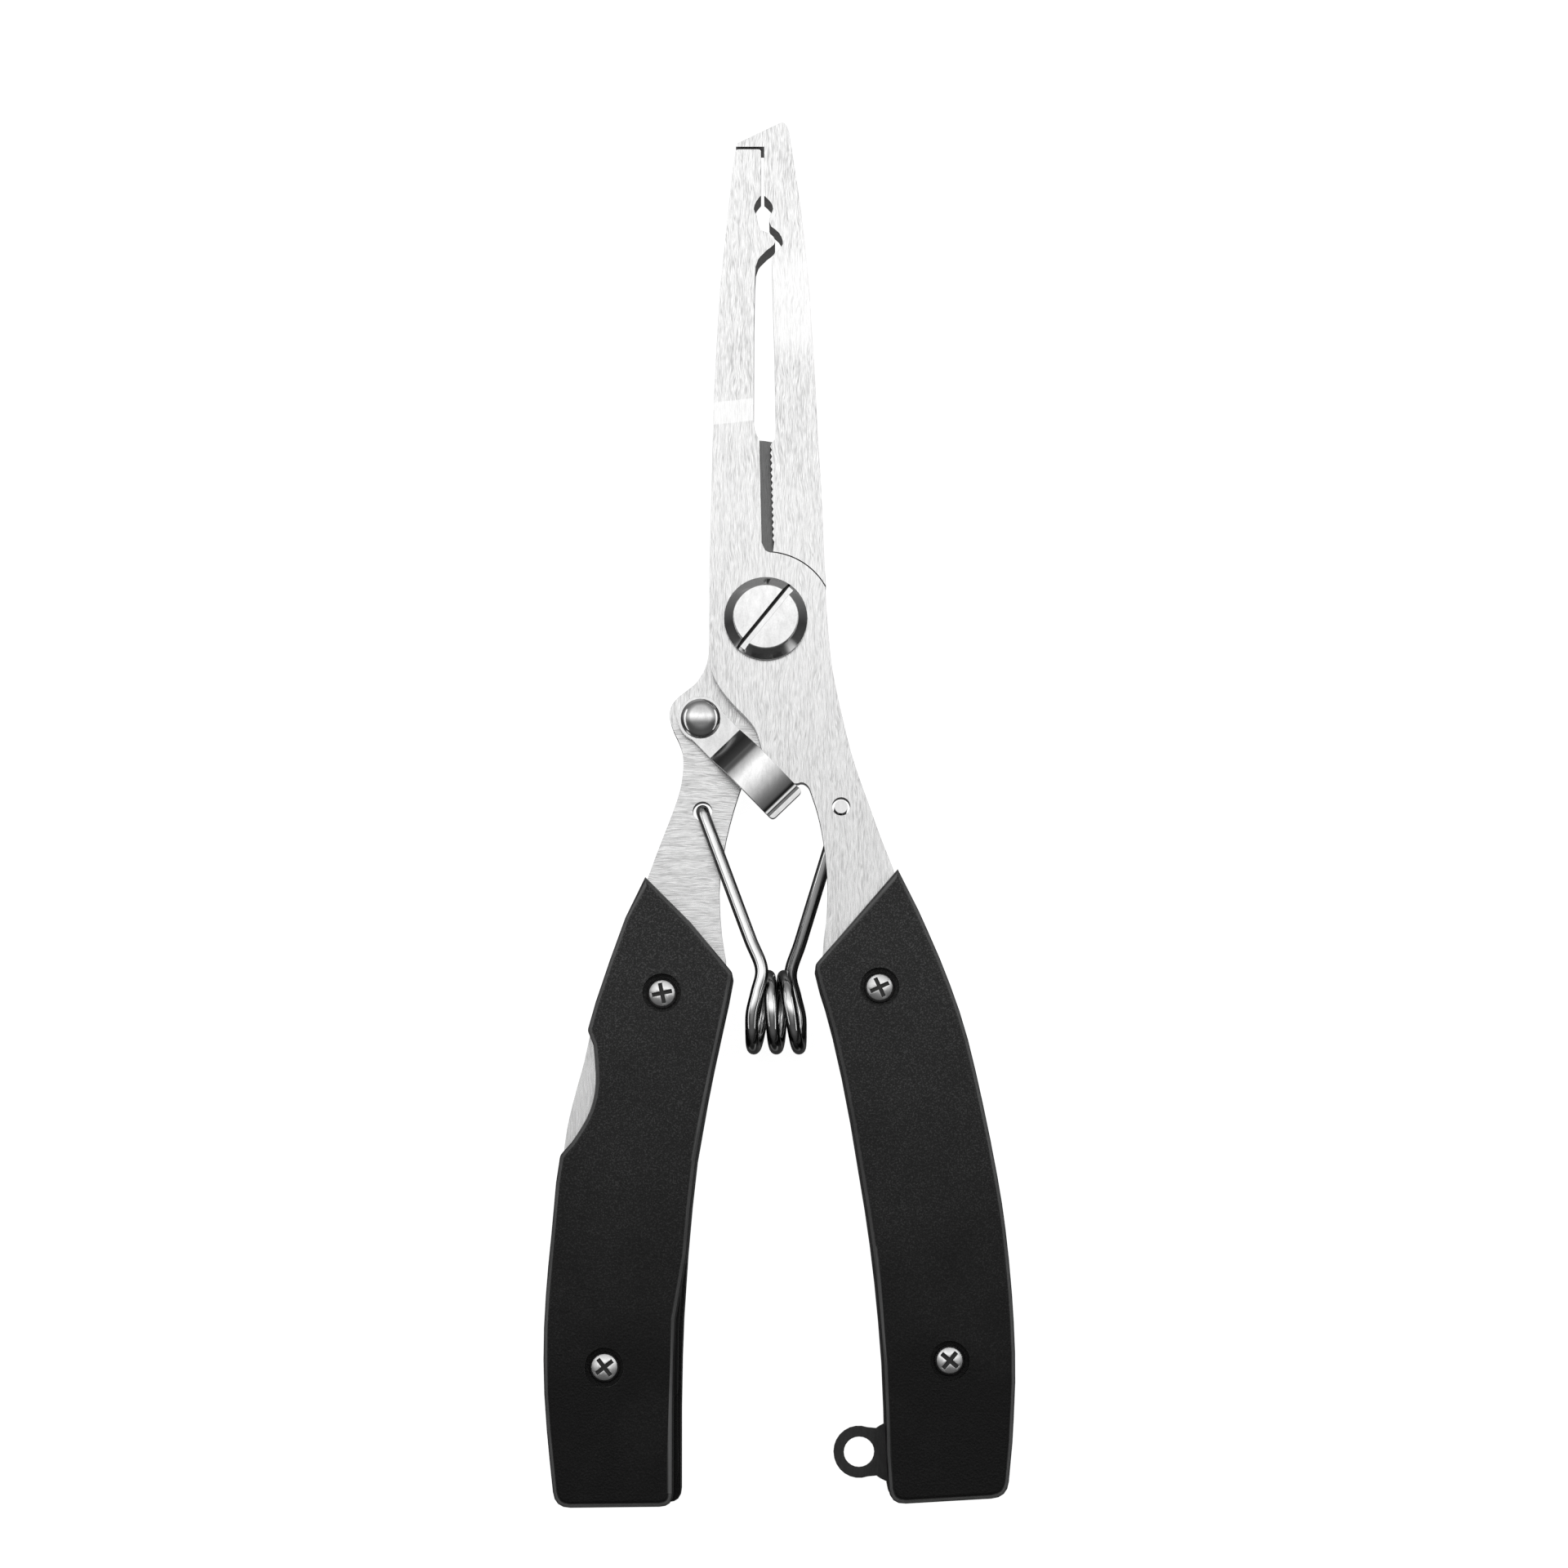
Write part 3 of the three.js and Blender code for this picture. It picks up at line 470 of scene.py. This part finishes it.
# Lengths are in mm, in drawing coordinates. Y_SHIFT takes a drawing y to the frame. The pitch of
# the coil's strands grows from its far side to its near side, and its sweep is in degrees.
Y_SHIFT = -2.05
COIL = {"x": -0.5, "y": -30.1, "z": 7.65, "radius": 5.45, "turns": 2.5}
COIL_SPREAD = (2.3, 3.4)
COIL_START, COIL_SWEEP, COIL_STEPS = 95, 890, 32
WIRE_RADIUS = 1.0
WIRE_SIDES = 20
WIRE_SPANS = 8


def coil_point(degrees, turns):
    angle = math.radians(degrees)
    low = (1 - math.cos(angle)) / 2
    pitch = COIL_SPREAD[0] + (COIL_SPREAD[1] - COIL_SPREAD[0]) * low
    return Vector((COIL["x"] + (turns - COIL["turns"] / 2) * pitch,
                   COIL["y"] + COIL["radius"] * math.cos(angle),
                   COIL["z"] + COIL["radius"] * math.sin(angle)))


def leg(start, end):
    return [start.lerp(end, share) for share in (0.2, 0.5, 0.8)]


def wire_points():
    """The points that the wire passes, and the index of the first and last one of the coil."""
    upper, lower = Vector((-11.3, -0.8, 8.85)), Vector((-2.7, -24.0, 12.9))
    left = [Vector((-11.8, 0.7, 5.0)), Vector((-11.8, 0.7, 7.2)), Vector((-11.7, 0.3, 8.4)), upper,
            *leg(upper, lower), lower, Vector((-3.4, -27.4, 13.1))]
    coil = [coil_point(COIL_START + COIL_SWEEP * i / COIL_STEPS, COIL["turns"] * i / COIL_STEPS)
            for i in range(COIL_STEPS + 1)]
    start, end = Vector((1.7, -24.0, 2.4)), Vector((9.05, -0.4, 6.45))
    right = [Vector((2.4, -27.4, 2.2)), start, *leg(start, end), end, Vector((9.3, 0.7, 6.95)),
             Vector((9.4, 1.1, 8.1)), Vector((9.4, 1.1, 10.4))]
    return left + coil + right, len(left), len(left) + len(coil) - 1


def through(points, spans):
    """Centripetal Catmull-Rom through the points, with the index of each point in the result."""
    ring = [points[0] * 2 - points[1], *points, points[-1] * 2 - points[-2]]
    out, marks = [], []
    for i in range(1, len(ring) - 2):
        p0, p1, p2, p3 = ring[i - 1:i + 3]
        d0, d1, d2 = (max((b - a).length, 1e-6) ** 0.5 for a, b in ((p0, p1), (p1, p2), (p2, p3)))
        t1 = ((p1 - p0) / d0 - (p2 - p0) / (d0 + d1) + (p2 - p1) / d1) * d1
        t2 = ((p2 - p1) / d1 - (p3 - p1) / (d1 + d2) + (p3 - p2) / d2) * d1
        marks.append(len(out))
        for k in range(spans):
            t = k / spans
            out.append(p1 + t1 * t + (p2 * 3 - p1 * 3 - t1 * 2 - t2) * t ** 2
                       + (p1 * 2 - p2 * 2 + t1 + t2) * t ** 3)
    marks.append(len(out))
    out.append(ring[-2])
    return out, marks


def rings_along(path):
    """A ring of points round each path point, turned as little as possible."""
    rings = []
    side = None
    for i, here in enumerate(path):
        ahead = (path[min(i + 1, len(path) - 1)] - path[max(i - 1, 0)]).normalized()
        if side is None:
            side = ahead.cross(Vector((0.3, 1.0, 0.2))).normalized()
        side = (side - ahead * side.dot(ahead)).normalized()
        other = ahead.cross(side)
        ring = []
        for k in range(WIRE_SIDES):
            turn = 2 * math.pi * k / WIRE_SIDES
            ring.append(here + (side * math.cos(turn) + other * math.sin(turn)) * WIRE_RADIUS)
        rings.append(ring)
    return rings


def in_metres(point):
    return Vector((point.x * MM, (point.y + Y_SHIFT) * MM, point.z * MM))


def wire_piece(name, rings, material, cap_start, cap_end):
    verts = [in_metres(p) for ring in rings for p in ring]
    n = WIRE_SIDES
    faces = [(r * n + k, r * n + (k + 1) % n, (r + 1) * n + (k + 1) % n, (r + 1) * n + k)
             for r in range(len(rings) - 1) for k in range(n)]
    if cap_start:
        faces.append(tuple(reversed(range(n))))
    if cap_end:
        faces.append(tuple(range(len(verts) - n, len(verts))))
    mesh = bpy.data.meshes.new(name)
    mesh.from_pydata(verts, [], faces)
    mesh.polygons.foreach_set("use_smooth", [len(f) == 4 for f in faces])
    mesh.materials.append(material)
    mesh.update()
    obj = bpy.data.objects.new(name, mesh)
    bpy.context.scene.collection.objects.link(obj)
    return obj


def make_spring(material):
    points, first, last = wire_points()
    path, marks = through(points, WIRE_SPANS)
    rings = rings_along(path)
    a, b = marks[first], marks[last]
    left = wire_piece("spring_left_leg", rings[:a + 1], material, True, False)
    coil = wire_piece("spring_coil", rings[a:b + 1], material, False, False)
    right = wire_piece("spring_right_leg", rings[b:], material, False, True)
    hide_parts("opening_spring")
    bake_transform(left)
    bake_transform(coil)
    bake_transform(right)


# ---- Build -------------------------------------------------------------------------------------

make_camera()
make_floor()
make_world()
bpy.context.scene.view_settings.view_transform = "Standard"

make_strip("strip_left", (-1.0, 0.0, 0.50))
make_strip("strip_right", (1.0, 0.0, 0.50))

# Painted highlights: a pale band across the front lever's jaw and a washed-out stretch of the back
# lever's jaw.
JAW_PAINTED_BAND = band_mask(y_low=0.0594, y_high=0.0629, slope=0.11, soft=0.00012,
                     x_low=-0.020, x_high=0.010, amount=0.60)
WASHED_OUT_PAINTED = band_mask(y_low=0.0697, y_high=0.0850, slope=0.0, soft=0.0020,
                   x_low=-0.010, x_high=0.020, amount=0.50)
# Painted shade: CUTTER_FLOOR darkens the floor of the cutter's recess. TANG_EDGE darkens the tang
# and back spring along the left handle's inner side.
CUTTER_FLOOR = ((-3.7, 38.6, 7.0), (-0.5, 56.4, 10.6), 0.17)
TANG_EDGE = ((-20.0, -110.0, 0.0), (-5.0, -29.0, 16.0), 0.02)
front_steel = brushed_steel("front_lever_steel", bands=(JAW_PAINTED_BAND,))
back_steel = brushed_steel("back_lever_steel", cross_below=12.0, bands=(WASHED_OUT_PAINTED,),
                           shaded=(CUTTER_FLOOR, TANG_EDGE))
blade_steel = brushed_steel("blade_satin", 0.90, 0.66)
spring_bar = brushed_steel("spring_bar_steel", 0.80, 0.55, shaded=(TANG_EDGE,))
bright = polished_steel("bright_steel")
pivot_steel = polished_steel("pivot_steel", 0.88, 0.72, painted_shade=slot_shadow)
latch_steel = polished_steel("latch_steel", 0.84, 0.68, (0.10, 0.18))
latch_arm = polished_steel("latch_arm_steel", 0.84, 0.68, (0.10, 0.18), painted_shade=latch_painted_shade)
# Painted shade in the cross recesses of the front and back screws.
fastener = polished_steel("fastener_steel", 0.97, 0.88, (0.30, 0.42),
                          shaded=((13.75, 14.0, 0.05), (1.2, 2.0, 0.05)))
wire = polished_steel("spring_wire", 0.96, 0.84, (0.07, 0.14), painted_shade=wire_painted_flanks)
plastic = moulded_plastic("moulded_grip")
plate = dark_steel("blackened_plate")

dress(["front_lever"], front_steel, 0.20)
dress(["back_lever"], back_steel, 0.20)
dress(["knife_blade", "back_spring_pin", "blade_stop_pin"], blade_steel, 0.10)
dress(["knife_back_spring"], spring_bar, 0.10)
dress(["lanyard_plate"], plate, 0.25)
dress([n for n in nodes if n.endswith("_scale")], plastic, 0.70)
dress([n for n in nodes if n.endswith(("er_screw", "_sleeve_nut"))], fastener, 0.10)
dress(["pivot_screw"], pivot_steel, 0.15)
dress(["pivot_nut", "pivot_washer"], bright, 0.15)
dress(["latch_rivet", "latch_washer"], latch_steel, 0.15)
dress(["latch_plate"], latch_arm, 0.15)
make_spring(wire)
